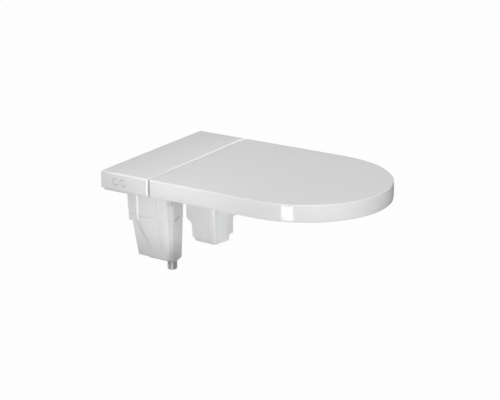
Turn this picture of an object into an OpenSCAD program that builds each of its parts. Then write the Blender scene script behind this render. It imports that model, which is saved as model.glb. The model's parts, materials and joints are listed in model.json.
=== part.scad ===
// Electric bidet seat: a flat rear unit on the pan's rim, two legs that hang behind the bowl,
// a soft-closing seat and lid on one hinge line, a washing wand and a warm-air dryer.
// Millimetres. X is across the seat, with +X at the sitter's left. The front of the seat is -Y.
// The origin lies midway between the two fixing bolts, on the plane of the pan's rim.

/* [Seat and lid] */
// Width across the lid and the rear unit
seat_w = 373; // [368:1:378]
// From the fixing bolts to the front tip of the lid
lid_front = 490; // [484:1:496]
// Length of the half-ellipse that closes the front of the lid
nose_len = 195; // [188:1:200]
// Height of the lid's and the rear unit's flat top above the rim
top_z = 42; // [42:0.5:44]
// Height of the lid's lower edge above the rim
skirt_z = 5.3; // [5:0.1:5.6]
// Wall thickness of the lid
lid_wall = 3.5; // [3:0.1:3.5]
// Width of the seat ring's opening
opening_w = 215; // [205:1:225]
// Clear gap between the lid and the rear unit
unit_gap = 4.5; // [4.3:0.1:4.7]

/* [Rear unit] */
// Depth of the rear unit
unit_depth = 119; // [116:1:122]
// From the fixing bolts to the unit's front face
unit_front = 38; // [38:0.5:38.5]
// Wall thickness of the rear cover
cover_wall = 3; // [2.5:0.1:3]
// Radius of the two side buttons
button_r = 7.2; // [6.8:0.1:7.3]
// Travel of the side buttons
button_travel = 1.2; // [0.8:0.1:1.2]

/* [Hinge] */
// From the fixing bolts forward to the hinge line
hinge_y = 60.5; // [60.5:0.1:61]
// Height of the hinge line above the rim
hinge_z = 30; // [29.8:0.1:30.2]
// Radius of the hinge pins
pin_r = 3.5; // [3:0.1:3.8]
// Running clearance round the hinge pins
pin_play = 0.05; // [0.03:0.01:0.08]

/* [Fixing] */
// Distance between the two fixing bolts
bolt_spacing = 155; // [150:1:155]
// Radius of the expansion dowels
dowel_r = 6; // [5.5:0.1:6]
// Length of the expansion dowels below the rim
dowel_len = 40; // [30:1:45]

/* [Legs] */
// Depth of the water leg below the rim
water_leg_depth = 140; // [138:1:142]
// Depth of the electric leg below the rim
electric_leg_depth = 185; // [183:1:187]
// Wall thickness of both legs
leg_wall = 2.5; // [2:0.1:2.5]
// Outer radius of the half-inch water inlet thread
inlet_r = 10.48; // [10.4:0.01:10.5]
// Length of inlet thread that shows below the water leg
inlet_len = 20; // [18:1:22]

/* [Wand and dryer] */
// Slope of the wand below the horizontal
wand_slope = 15; // [15:0.5:15.5]
// Outer radius of the wand's outer tube
wand_r = 8; // [7.8:0.1:8]
// Travel of each of the wand's two stages
wand_travel = 60; // [40:1:60]
// Radius of the dryer's fan wheel
fan_r = 24; // [20:1:25]

/* [Hidden] */
$fn = 48;

eps = 0.01;
half_w = seat_w / 2;

// Levels of the rear unit
floor_z = 2.4;                              // underside of the base plate
tray_z = 5.3;                               // inside floor of the base plate
nose_z = 7.5;                               // top of the base plate's front shelf
unit_rear = unit_depth - unit_front;
cover_in_z = top_z - cover_wall;
nose_y = -84;                               // front edge of the base plate's shelf
fit_gap = 0.3;                              // play between parts that slip into each other
tray_half = half_w - 8;
shelf_half = half_w - 14.5;
flange_half = half_w - cover_wall - fit_gap;
flange_front = -unit_front + cover_wall + fit_gap;
screw_r = 1.25;
head_r = 2.8;
bracket_z = 2.3;                            // top of the mounting bracket
bolt_r = 4;
bolt_len = 17;
pad_r = 8;
rim_pad_at = [[-150, 62], [150, 62], [-100, -72], [100, -72]];

// Seat ring
ring_half = half_w - 9;
ring_rear = -84.5;
ring_nose = nose_len - 9;
nose_c = nose_len - lid_front;              // Y of the centre of the front ellipse
seat_top_z = 35;
seat_split_z = 14;
seat_low_z = 8;
seat_wall = 3;
tongue_z = 22;                              // underside of the seat's hinge tongue
tongue_r = 8;                               // its round about the hinge line
open_c = -255;                              // Y of the opening's widest line
open_rear = 150;
open_front = 140;
knuckle = [92, 108];                        // X span of the seat's hinge knuckles
damper_x = [108.3, 140];
block_x = [140, 152];
lid_ear_x = [152.5, 163.5];
seat_screw_at = [[142, -118], [142, -215], [134, -315], [70, -408]];
seat_bumper_at = [[142, -150], [95, -425]];

// Lid
lid_rear = -unit_front - unit_gap;
lid_in_z = top_z - lid_wall;
lid_bumper_at = [[142, -165], [115, -365]];
lid_screw_at = [[171, -70], [171, -56]];

// Side buttons
button_z = 23;
wash_y = 26.3;
stop_y = 45.6;
stem_x = -half_w + 5.6;                     // inner end of a button's stem
button_board_x = -half_w + 9.9;

// Wand: the guide's mouth, and places along the wand measured back from it
mouth = [0, nose_y, -9.3];
guide_len = 105;
pinion_s = 74;
pinion_teeth = 12;                          // of module 1
pitch_x = 9.85;
pinion_x = pitch_x + pinion_teeth / 2 + 0.1;
rack_s = [pinion_s - 10, pinion_s + wand_travel + 4];
outer_s = [14, 96];
inner_s = [13, 92];

// Dryer
fan_at = [50, 36];
duct_x = [32, 64];
flap_y = -86;
flap_z = 4.6;

// Legs
seam_z = -49;
neck_z = -92;
water_x = [-164, -118];
water_y = [-80.5, 32];
electric_x = [84, 165];
electric_y = [-28, 56];
column_at = [91.5, -13.7];
column_r = 8.7;
inlet_at = [-143, -66.5];
inlet_neck_r = 9.6;                         // plain neck above the inlet's thread
neck_gap = 0.5;
inlet_top_z = -128;
gland_x = 131.5;
gland_z = -60;
gland_half = 6.5;                           // half of the gland's square shank

cover_screw_at = [[-168, 64], [168, 64], [0, 65.5], [-56, -26.6], [84, -26.6]];
// Leg screws: X, Y and the level of the head's top
leg_screw_at = [
  [-158.2, 26, tray_z], [-123.5, 26, tray_z], [-158.2, -68.5, nose_z], [-123.5, -75.2, nose_z],
  [103.5, 44.5, tray_z], [159.5, 44.5, tray_z], [159.5, -22.5, tray_z], [103.5, -17.5, tray_z]
];
block_screw_y = [-75.5, -66.5];
board_posts = [[99, 53], [167, 53], [99, -8], [167, -8]];

// Shared shapes
module box(a, b) translate(a) cube([b.x - a.x, b.y - a.y, b.z - a.z]);
module x_rod(r, x0, x1, y, z) translate([x0, y, z]) rotate([0, 90, 0]) cylinder(r = r, h = x1 - x0);
module y_rod(r, y0, y1, x, z) translate([x, y1, z]) rotate([90, 0, 0]) cylinder(r = r, h = y1 - y0);
module z_rod(r, z0, z1, x, y) translate([x, y, z0]) cylinder(r = r, h = z1 - z0);
// A side outline of Y, Z points carried along X
module along_x(x0, x1, points)
  translate([x0, 0, 0]) rotate([90, 0, 90]) linear_extrude(x1 - x0) polygon(points);
// A front outline of X, Z points carried along Y
module along_y(y0, y1, points)
  translate([0, y1, 0]) rotate([90, 0, 0]) linear_extrude(y1 - y0) polygon(points);
module both_sides() {
  children();
  mirror([1, 0, 0]) children();
}
module wand_frame() translate(mouth) rotate([wand_slope, 0, 0]) children();

// Outline with straight sides and a half-ellipse at the front
function d_outline(half, rear, nose, steps = 60) = concat(
  [[half, rear]],
  [for (i = [0:steps]) [half * cos(180 * i / steps), nose_c - nose * sin(180 * i / steps)]],
  [[-half, rear]]
);
// Egg-shaped outline of the seat's opening, widened by grow
function egg_outline(grow, steps = 72) = [
  for (i = [0:steps - 1])
    let (a = 360 * i / steps, reach = (sin(a) > 0 ? open_rear : open_front) + grow)
    [(opening_w / 2 + grow) * cos(a), open_c + reach * sin(a)]
];
module ring_slice(inset, z0, z1)
  translate([0, 0, z0]) linear_extrude(z1 - z0) difference() {
    polygon(d_outline(ring_half - inset, ring_rear - inset, ring_nose - inset));
    polygon(egg_outline(inset));
  }

// ---- Rear unit ----
module rear_cover() color("whitesmoke") difference() {
  union() {
    difference() {
      box([-half_w, -unit_front, skirt_z], [half_w, unit_rear, top_z]);
      box([-half_w + cover_wall, -unit_front + cover_wall, 0],
          [half_w - cover_wall, unit_rear - cover_wall, cover_in_z]);
    }
    for (p = cover_screw_at) z_rod(4, tray_z, cover_in_z + eps, p.x, p.y);
    for (y = [12, 60]) x_rod(3, -half_w + 1, button_board_x, y, button_z);
  }
  box([-14, -unit_front - 1, 0], [66.5, -unit_front + cover_wall + 1, 15]);
  for (y = [wash_y, stop_y]) x_rod(button_r + fit_gap, -half_w - 1, -half_w + 6, y, button_z);
  for (p = cover_screw_at) z_rod(screw_r, tray_z - 1, 17, p.x, p.y);
}

module base_plate() color("gainsboro") difference() {
  union() {
    box([-tray_half, -unit_front, floor_z], [tray_half, unit_rear - 8, tray_z]);
    box([-shelf_half, nose_y, floor_z], [shelf_half, -unit_front, nose_z]);
    difference() {
      box([-flange_half, flange_front, tray_z - eps], [flange_half, unit_rear - cover_wall - fit_gap, 8]);
      box([3.5 - tray_half, flange_front + 3.7, 0], [tray_half - 3.5, unit_rear - 11, 9]);
    }
    for (p = board_posts) z_rod(3, tray_z - eps, 13, p.x, p.y);
  }
  box([-13.5, nose_y - 1, 0], [17, 14.5, 9]);
  box([16, -34.8, 0], [25, -3, 9]);
  box([29.8, nose_y - 1, 0], [66.2, -4, 9]);
  box([-154, -30, 0], [-127, 22, 9]);
  box([107, -14, 0], [156, 41, 9]);
  for (s = [-1, 1]) z_rod(10, 0, 9, s * bolt_spacing / 2, 0);
  for (p = cover_screw_at) {
    z_rod(head_r, 0, floor_z + 1.5, p.x, p.y);
    z_rod(screw_r, 0, 9, p.x, p.y);
  }
  for (p = leg_screw_at) {
    z_rod(head_r, p.z - 1.6, 9, p.x, p.y);
    z_rod(screw_r, 0, 9, p.x, p.y);
  }
  for (s = [-1, 1], y = block_screw_y) {
    z_rod(head_r, 0, floor_z + 1.6, s * 146, y);
    z_rod(1.5, 0, 9, s * 146, y);
  }
}

module mounting_bracket() color("lightgray") difference() {
  union() {
    box([-96, 4, 0], [96, 16, bracket_z]);
    for (s = [-1, 1]) box([s * bolt_spacing / 2 - 18, -16, 0], [s * bolt_spacing / 2 + 18, 16, bracket_z]);
  }
  for (s = [-1, 1]) z_rod(bolt_r + 0.2, -1, bracket_z + 1, s * bolt_spacing / 2, 0);
}
module fixing_bolts() color("silver") for (s = [-1, 1]) {
  z_rod(2 * bolt_r, bracket_z, bracket_z + 4.7, s * bolt_spacing / 2, 0);
  z_rod(bolt_r, -bolt_len, bracket_z + eps, s * bolt_spacing / 2, 0);
}
// The dowels are closed at the bottom
module expansion_dowels() color("lightslategray") for (s = [-1, 1]) difference() {
  z_rod(dowel_r, -dowel_len, 0, s * bolt_spacing / 2, 0);
  z_rod(bolt_r + 0.05, -bolt_len - 0.3, 1, s * bolt_spacing / 2, 0);
}
module rim_pads() color("dimgray") for (p = rim_pad_at) z_rod(pad_r, 0, floor_z, p.x, p.y);
module cover_screws() color("silver") for (p = cover_screw_at) {
  z_rod(head_r, floor_z, floor_z + 1.5, p.x, p.y);
  z_rod(screw_r, floor_z + 1.5 - eps, 16.5, p.x, p.y);
}
module leg_screws() color("silver") for (p = leg_screw_at) {
  z_rod(head_r, p.z - 1.6, p.z, p.x, p.y);
  z_rod(screw_r, -8, p.z - 1.6 + eps, p.x, p.y);
}
module button_board() color("seagreen") {
  box([button_board_x, 8, 10], [button_board_x + 1.6, 64, 36]);
  for (y = [wash_y, stop_y]) {
    box([button_board_x - 1.8, y - 3, button_z - 3], [button_board_x + eps, y + 3, button_z + 3]);
    x_rod(1.5, stem_x + button_travel + fit_gap, button_board_x - 1.8 + eps, y, button_z);
  }
}
// A side button: cap flush with the cover, retaining flange and stem
module side_button(y) difference() {
  union() {
    x_rod(button_r, -half_w - 0.1, -half_w + 3.6, y, button_z);
    x_rod(button_r + 1.4, -half_w + 3.3, -half_w + 4.8, y, button_z);
    x_rod(2.5, -half_w + 4.7, stem_x, y, button_z);
  }
  difference() {
    x_rod(4.7, -half_w - 1, -half_w + 0.3, y, button_z);
    x_rod(4.1, -half_w - 1, -half_w + 1, y, button_z);
  }
  x_rod(1, -half_w - 1, -half_w + 0.3, y, button_z);
}
module wash_button() color("whitesmoke") side_button(wash_y);
module stop_button() color("whitesmoke") side_button(stop_y);

// ---- Hinge ----
module hinge_block() difference() {
  union() {
    x_rod(7.5, block_x[0], block_x[1], -hinge_y, hinge_z);
    along_x(block_x[0], block_x[1], [
      [-hinge_y + 7.3, hinge_z - 1.5], [-hinge_y - 1.5, nose_z],
      [-hinge_y - 19.5, nose_z], [-hinge_y - 7.3, hinge_z + 1.5]
    ]);
  }
  x_rod(pin_r, block_x[0] - 1, block_x[1] + 1, -hinge_y, hinge_z);
  for (y = block_screw_y) z_rod(1.5, 0, 14, 146, y);
}
module hinge_block_left() color("lightgray") hinge_block();
module hinge_block_right() color("lightgray") mirror([1, 0, 0]) hinge_block();
module hinge_pin() {
  x_rod(pin_r, knuckle[0], 164, -hinge_y, hinge_z);
  x_rod(pin_r + 2, lid_ear_x[1] + 0.4, 166, -hinge_y, hinge_z);
}
module hinge_pin_left() color("silver") hinge_pin();
module hinge_pin_right() color("silver") mirror([1, 0, 0]) hinge_pin();
module damper_barrel() difference() {
  union() {
    x_rod(7.2, damper_x[0], damper_x[1], -hinge_y, hinge_z);
    for (x = [damper_x[0] + 3, damper_x[1] - 6]) x_rod(7.4, x, x + 2, -hinge_y, hinge_z);
  }
  x_rod(pin_r + pin_play, damper_x[0] - 1, damper_x[1] + 1, -hinge_y, hinge_z);
}
module seat_damper() color("darkgray") damper_barrel();
module lid_damper() color("darkgray") mirror([1, 0, 0]) damper_barrel();
module hinge_block_screws() color("silver") for (s = [-1, 1], y = block_screw_y) {
  z_rod(head_r, floor_z, floor_z + 1.6, s * 146, y);
  z_rod(1.5, floor_z + 1.6 - eps, 13.5, s * 146, y);
}

// ---- Water leg ----
// The leg's form, inset by t on every side
module water_leg_form(t) {
  deep = -water_leg_depth + t;
  intersection() {
    along_x(water_x[0] + t, water_x[1] - t, [
      [water_y[1] - t, floor_z], [28.5 - t, -63.5 + t], [19 - t, -63.5 + t], [5.5 - t, -137 + t],
      [-17 - t, -137 + t], [-17 - t, deep], [water_y[0] + t, deep], [water_y[0] + t, floor_z]
    ]);
    along_y(water_y[0] - 1, water_y[1] + 1, [
      [water_x[0] + t, floor_z], [water_x[0] + t, deep], [-142 - t / 4, deep],
      [-127 - t, -136 + t], [water_x[1] - t, floor_z]
    ]);
    translate([0, 0, -200]) linear_extrude(210) polygon([
      [water_x[0] + t, water_y[1]], [water_x[0] + t, -72.5 + t / 2], [-156 + t / 2, water_y[0] + t],
      [water_x[1], water_y[0] + t], [water_x[1], water_y[1]]
    ]);
  }
}
// Two upright swellings on the leg's outer face that fade out downwards
module water_leg_swells() intersection() {
  union() {
    translate([water_x[0] + 41.5, -17, 2]) rotate([0, -2.9, 0]) translate([0, 0, -150])
      cylinder(r = 47, h = 160, $fn = 96);
    translate([water_x[0] + 25, -55.5, 2]) rotate([0, -1.6, 0]) translate([0, 0, -150])
      cylinder(r = 28.5, h = 160, $fn = 96);
  }
  box([water_x[0] - 7, -72, -125], [water_x[0] + 1, 7, floor_z]);
}
module water_leg_slot() for (k = [0, 1])
  translate([-143 - k, water_y[0], -47.2 - 5 * k]) rotate([0, -14, 0])
    cube([20 - 8 * k, 2.4 - 1.2 * k, 2 - k], center = true);
module water_leg_upper() color("gainsboro") difference() {
  intersection() {
    union() {
      water_leg_form(0);
      water_leg_swells();
    }
    box([-175, -90, seam_z], [-110, 40, floor_z]);
  }
  difference() {
    intersection() {
      water_leg_form(leg_wall);
      box([-175, -90, seam_z - 1], [-110, 40, floor_z + 1]);
    }
    for (i = [0:3]) z_rod(3.5, -10, 3, leg_screw_at[i].x, leg_screw_at[i].y);
  }
  for (i = [0:3]) z_rod(screw_r, -8.5, 3, leg_screw_at[i].x, leg_screw_at[i].y);
  water_leg_slot();
}
module water_leg_lower() color("gainsboro") difference() {
  intersection() {
    union() {
      water_leg_form(0);
      water_leg_swells();
    }
    box([-175, -90, -150], [-110, 40, seam_z]);
  }
  water_leg_form(leg_wall);
  z_rod(inlet_neck_r + 0.05, -150, -130, inlet_at.x, inlet_at.y);
  water_leg_slot();
}
module water_inlet_connector() color("silver") difference() {
  union() {
    z_rod(inlet_r, -water_leg_depth - inlet_len, -water_leg_depth - neck_gap, inlet_at.x, inlet_at.y);
    z_rod(inlet_neck_r, -water_leg_depth - neck_gap - eps, inlet_top_z, inlet_at.x, inlet_at.y);
  }
  z_rod(6, -water_leg_depth - inlet_len - 1, inlet_top_z + 1, inlet_at.x, inlet_at.y);
}
module inlet_strainer() color("gainsboro") difference() {
  z_rod(6, -156, -140, inlet_at.x, inlet_at.y);
  z_rod(5, -157, -141, inlet_at.x, inlet_at.y);
}
module inlet_valve() color("white") difference() {
  union() {
    box([-156, -76.5, -128], [-130, -54, -100]);
    z_rod(5, -100 - eps, -97, inlet_at.x, inlet_at.y);
  }
  z_rod(6, -129, -116, inlet_at.x, inlet_at.y);
}
module solenoid_coil() color("dimgray") {
  y_rod(9, -54, -33, inlet_at.x, -114);
  box([-149, -52, -124], [-137, -38, -114]);
}
module flow_meter() color("white") difference() {
  union() {
    z_rod(9.5, -99, -78, inlet_at.x, inlet_at.y);
    box([-150, -58, -94], [-136, -53.5, -83]);
  }
  z_rod(5, -100, -97, inlet_at.x, inlet_at.y);
}
module cold_water_hose() color("lightsteelblue") {
  z_rod(4, -78, -46, inlet_at.x, inlet_at.y);
  translate([inlet_at.x, inlet_at.y, -46]) sphere(r = 4);
  y_rod(4, inlet_at.y, -28, inlet_at.x, -46);
}
module water_heater() color("silver") {
  box([-157, -28, -122], [-131, 2, -30]);
  z_rod(6, -30 - eps, -26, -141, -13);
  for (z = [-110, -80, -50]) box([-158, -27, z], [-130, 3, z + 4]);
}
module warm_water_hose() color("lightsteelblue") {
  z_rod(4, -26, 20, -141, -13);
  translate([-141, -13, 20]) sphere(r = 4);
  x_rod(4, -141, -112, -13, 20);
}
module water_pump() color("dimgray") {
  x_rod(13, -112, -86, -13, 20);
  x_rod(9, -86 - eps, -72, -13, 20);
  box([-110, -23, tray_z], [-88, -3, 12]);
}
module pump_hose() color("lightsteelblue") x_rod(3.5, -72, -44, -13, 20);
module selector_valve() color("white") {
  box([-44, -20, tray_z], [-22, 10, 26]);
  z_rod(7, 26 - eps, 34, -33, -5);
}

// ---- Electric leg ----
module electric_leg_form(t) {
  deep = -electric_leg_depth + t;
  intersection() {
    along_x(electric_x[0] + t, electric_x[1] - t, [
      [electric_y[1] - t, neck_z - t], [electric_y[1] - t, -132.7 + t / 2], [41 - t, -145.4 + t / 2],
      [39.3 - t, -173.6 + t / 2], [33 - t, deep], [electric_y[0] + t, deep],
      [electric_y[0] + t, neck_z - t]
    ]);
    along_y(electric_y[0] - 1, electric_y[1] + 1, [
      [electric_x[0] + t, neck_z - t], [electric_x[0] + t, deep], [135 - t, deep],
      [135 - t, -172 + t], [151 - t, -172 + t], [151 - t, -134 + t],
      [electric_x[1] - t, -134 + t], [electric_x[1] - t, neck_z - t]
    ]);
    translate([0, 0, -200]) linear_extrude(210) polygon([
      [electric_x[0] + t, electric_y[1]], [electric_x[0] + t, -8 + t], [99 + t / 4, -22 + t],
      [125, electric_y[0] + t], [electric_x[1], electric_y[0] + t], [electric_x[1], electric_y[1]]
    ]);
  }
}
module electric_neck_form(t, z0, z1)
  translate([0, 0, z0]) linear_extrude(z1 - z0) polygon([
    [98 + t, 50 - t], [98 + t, -21.5 + t], [125, electric_y[0] + t],
    [electric_x[1] - t, electric_y[0] + t], [electric_x[1] - t, 50 - t]
  ]);
module electric_leg_upper() color("gainsboro") difference() {
  electric_neck_form(0, neck_z, floor_z);
  difference() {
    electric_neck_form(leg_wall, neck_z - 1, floor_z + 1);
    for (i = [4:7]) z_rod(3.5, -10, 3, leg_screw_at[i].x, leg_screw_at[i].y);
  }
  for (i = [4:7]) z_rod(screw_r, -8.5, 3, leg_screw_at[i].x, leg_screw_at[i].y);
  box([gland_x - gland_half - 0.05, 40, gland_z - gland_half - 0.05],
      [gland_x + gland_half + 0.05, 55, gland_z + gland_half + 0.05]);
}
module electric_leg_lower() color("gainsboro") difference() {
  union() {
    electric_leg_form(0);
    z_rod(column_r, -electric_leg_depth + 2, neck_z, column_at.x, column_at.y);
  }
  electric_leg_form(leg_wall);
  electric_neck_form(leg_wall, neck_z - leg_wall - 1, neck_z + 1);
}
module power_board() color("seagreen") {
  box([100.5, 18, -88], [162.5, 19.6, -20]);
  box([110, 4, -60], [130, 18 + eps, -40]);
  for (x = [140, 152]) y_rod(5, 2, 18 + eps, x, -50);
  box([108, 19.6 - eps, -82], [150, 26, -70]);
}
module transformer() color("dimgray") {
  box([90, -8, -182.5], [130, 28, -176]);
  box([93, -5, -176 - eps], [127, 25, -148]);
  box([97, -9, -172], [123, 29, -152]);
}
module mains_gland() color("dimgray") difference() {
  union() {
    box([gland_x - gland_half, 44, gland_z - gland_half], [gland_x + gland_half, 50, gland_z + gland_half]);
    y_rod(10, 50, 53, gland_x, gland_z);
    translate([gland_x, 64, gland_z]) rotate([90, 0, 0]) cylinder(r1 = 6.2, r2 = 8.5, h = 11);
  }
  y_rod(3.6, 40, 70, gland_x, gland_z);
}
module control_board() color("seagreen") {
  box([95, -24, 13], [172, 58, 14.6]);
  box([112, -2, 14.6 - eps], [132, 18, 17]);
  box([112, 30, 14.6 - eps], [130, 46, 29]);
  for (y = [14, 28, 42]) z_rod(5, 14.6 - eps, 28, 150, y);
  for (y = [-20, -6, 10]) box([160, y, 14.6 - eps], [169, y + 10, 22]);
}

// ---- Wand ----
module nozzle_guide() color("gainsboro") union() {
  wand_frame() difference() {
    box([-11.5, 0, -10], [14.5, guide_len, 9.6]);
    y_rod(wand_r + fit_gap, -1, guide_len + 1, 0, 0);
    box([0, -1, -3], [11.4, guide_len + 1, 3]);
    z_rod(pinion_teeth / 2 + 1.5, -3.1, 3.1, pinion_x, pinion_s);
    z_rod(1.8, -3, 11, pinion_x, pinion_s);
  }
  box([-20, -28, tray_z], [-11, 0, 8]);
}
module wand_outer_tube() color("silver") wand_frame() difference() {
  y_rod(wand_r, outer_s[0], outer_s[1], 0, 0);
  y_rod(5.8, 0, guide_len, 0, 0);
}
module wand_rack() color("white") wand_frame() difference() {
  union() {
    box([6, rack_s[0], -2.5], [pitch_x - 1.25, rack_s[1], 2.5]);
    translate([0, 0, -2.5]) linear_extrude(5) for (k = [-3:floor((rack_s[1] - pinion_s) / PI) - 1])
      translate([0, pinion_s + PI * (k + 0.5)])
      polygon([[pitch_x - 1.3, -1.0], [pitch_x, -0.62], [pitch_x + 0.95, -0.3],
               [pitch_x + 0.95, 0.3], [pitch_x, 0.62], [pitch_x - 1.3, 1.0]]);
  }
  y_rod(wand_r, 0, outer_s[1], 0, 0);
}
module wand_inner_tube() color("silver") wand_frame() difference() {
  y_rod(5.5, inner_s[0], inner_s[1], 0, 0);
  y_rod(3.5, inner_s[0] + 4, inner_s[1] + 1, 0, 0);
}
module nozzle_head() color("white") wand_frame() difference() {
  y_rod(5.5, 1, inner_s[0], 0, 0);
  for (x = [-1.6, 0, 1.6]) z_rod(0.6, 2, 6, x, 5);
  z_rod(1, 2, 6, 0, 9.5);
}
module nozzle_shield() color("whitesmoke") wand_frame() y_rod(7.9, -2, 1, 0, 0);
module drive_pinion() color("white") wand_frame() translate([pinion_x, pinion_s, -2.5]) difference() {
  linear_extrude(5) union() {
    circle(r = 4.8);
    for (k = [0:pinion_teeth - 1]) rotate(180 + 360 * k / pinion_teeth)
      polygon([[4.5, -0.95], [6, -0.66], [6.95, -0.3], [6.95, 0.3], [6, 0.66], [4.5, 0.95]]);
  }
  translate([0, 0, -1]) cylinder(r = 1.55, h = 7);
}
module wand_motor() color("dimgray") wand_frame() {
  z_rod(10, 9.6, 25, pinion_x, pinion_s);
  z_rod(1.5, -2.3, 9.6 + eps, pinion_x, pinion_s);
}

// ---- Dryer ----
module dryer_fan_housing() color("gainsboro") difference() {
  union() {
    z_rod(30, tray_z, 31, fan_at.x, fan_at.y);
    box([duct_x[0], -6, 7], [duct_x[1], 20, 27]);
  }
  z_rod(28.4, tray_z + 1.5, 29.5, fan_at.x, fan_at.y);
  box([duct_x[0] + 1.5, -7, 8.5], [duct_x[1] - 1.5, 20, 25.5]);
  z_rod(14, 29, 32, fan_at.x, fan_at.y);
}
module dryer_motor() color("dimgray") {
  z_rod(10, tray_z + 1.5, 20, fan_at.x, fan_at.y);
  z_rod(1.5, 20 - eps, 27, fan_at.x, fan_at.y);
}
module dryer_fan_wheel() color("white") difference() {
  union() {
    z_rod(fan_r, 21, 22.6, fan_at.x, fan_at.y);
    z_rod(4, 22.5, 26, fan_at.x, fan_at.y);
    difference() {
      z_rod(fan_r, 8, 9.2, fan_at.x, fan_at.y);
      z_rod(fan_r - 3, 7, 10, fan_at.x, fan_at.y);
    }
    for (k = [0:19]) translate([fan_at.x, fan_at.y, 0]) rotate(360 * k / 20)
      translate([fan_r - 6, 0, 8.5]) rotate(25) cube([5.6, 1.2, 13]);
  }
  z_rod(1.55, 20, 27, fan_at.x, fan_at.y);
}
module dryer_duct() color("gainsboro") difference() {
  union() {
    along_x(duct_x[0], duct_x[1], [
      [-6, 27], [-6, 7], [-38, -6], [-46, -8], [nose_y, -8], [nose_y, 7], [-60, 7], [-38, 13]
    ]);
    for (x = [duct_x[0] - 2, duct_x[1]]) box([x, flap_y - 2, 2.4], [x + 2, -78, 7.4]);
  }
  along_x(duct_x[0] + 1.5, duct_x[1] - 1.5, [
    [-5, 25.9], [-5, 9], [-37.6, -4.4], [-46, -6.5], [nose_y - 1, -6.5], [nose_y - 1, 5.5],
    [-60.3, 5.5], [-38.4, 11.4]
  ]);
  x_rod(1.25, duct_x[0] - 3, duct_x[0] + eps, flap_y, flap_z);
  x_rod(1.25, duct_x[1] - eps, duct_x[1] + 3, flap_y, flap_z);
}
module dryer_heater() color("silver") {
  for (x = [36:4:60]) box([x, -78, -6.5], [x + 0.8, -61, 5.5]);
  box([duct_x[0] + 1.5, -71, -1.5], [duct_x[1] - 1.5, -68, 1.5]);
}
module dryer_flap() color("whitesmoke") {
  x_rod(1.7, duct_x[0] + 0.4, duct_x[1] - 0.4, flap_y, flap_z);
  x_rod(1.2, duct_x[0] - 1.8, duct_x[1] + 1.8, flap_y, flap_z);
  box([duct_x[0] + 0.4, flap_y, -8], [duct_x[1] - 0.4, flap_y + 1.5, flap_z]);
}

// ---- Seat ----
// Tongue behind the ring, rounded about the hinge line so that the lid can swing past it,
// and inset by t above and behind
module seat_tongue(t, half) intersection() {
  union() {
    box([-half, ring_rear - eps, tongue_z - 2 * t], [half, -hinge_y, seat_top_z - t]);
    x_rod(tongue_r - t, -half, half, -hinge_y, hinge_z);
  }
  box([-half, ring_rear - eps, tongue_z - 2 * t], [half, 0, seat_top_z - t]);
}
module seat_top_shell() color("white") difference() {
  union() {
    difference() {
      ring_slice(0, seat_split_z, seat_top_z);
      ring_slice(seat_wall, seat_split_z - 1, seat_top_z - seat_wall);
    }
    difference() {
      seat_tongue(0, knuckle[0]);
      seat_tongue(seat_wall, knuckle[0] - seat_wall);
    }
    intersection() {
      seat_tongue(0, knuckle[0]);
      for (x = [-60:30:60]) box([x - 1, ring_rear, 0], [x + 1, -50, seat_top_z - 1]);
    }
    both_sides() {
      x_rod(7, knuckle[0] - eps, knuckle[1], -hinge_y, hinge_z);
      box([knuckle[0] - eps, ring_rear - 1, 24], [knuckle[1], -hinge_y, seat_top_z]);
    }
    both_sides() for (p = seat_screw_at) z_rod(4, 11, seat_top_z - 1, p.x, p.y);
  }
  both_sides() x_rod(pin_r + pin_play, knuckle[0] - 1, knuckle[1] + 1, -hinge_y, hinge_z);
  both_sides() for (p = seat_screw_at) z_rod(screw_r, 10, 24, p.x, p.y);
}
module seat_bottom_shell() color("whitesmoke") difference() {
  difference() {
    ring_slice(0, seat_low_z, seat_split_z);
    ring_slice(seat_wall, 11, seat_split_z + 1);
  }
  both_sides() for (p = seat_screw_at) {
    z_rod(head_r, 0, seat_low_z + 1.5, p.x, p.y);
    z_rod(screw_r, 0, 12, p.x, p.y);
  }
  both_sides() for (p = seat_bumper_at) z_rod(3, 0, 12, p.x, p.y);
}
module seat_heater() color("orange") difference() {
  ring_slice(9, 31.2, 32);
  both_sides() for (p = seat_screw_at) z_rod(6, 30, 33, p.x, p.y);
}
module seat_bumpers() color("gray") both_sides() for (p = seat_bumper_at) {
  z_rod(10, 0, seat_low_z, p.x, p.y);
  z_rod(2.95, seat_low_z - eps, 11, p.x, p.y);
}
module seat_screws() color("silver") both_sides() for (p = seat_screw_at) {
  z_rod(head_r, seat_low_z, seat_low_z + 1.5, p.x, p.y);
  z_rod(screw_r, seat_low_z + 1.5 - eps, 23.5, p.x, p.y);
}

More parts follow.
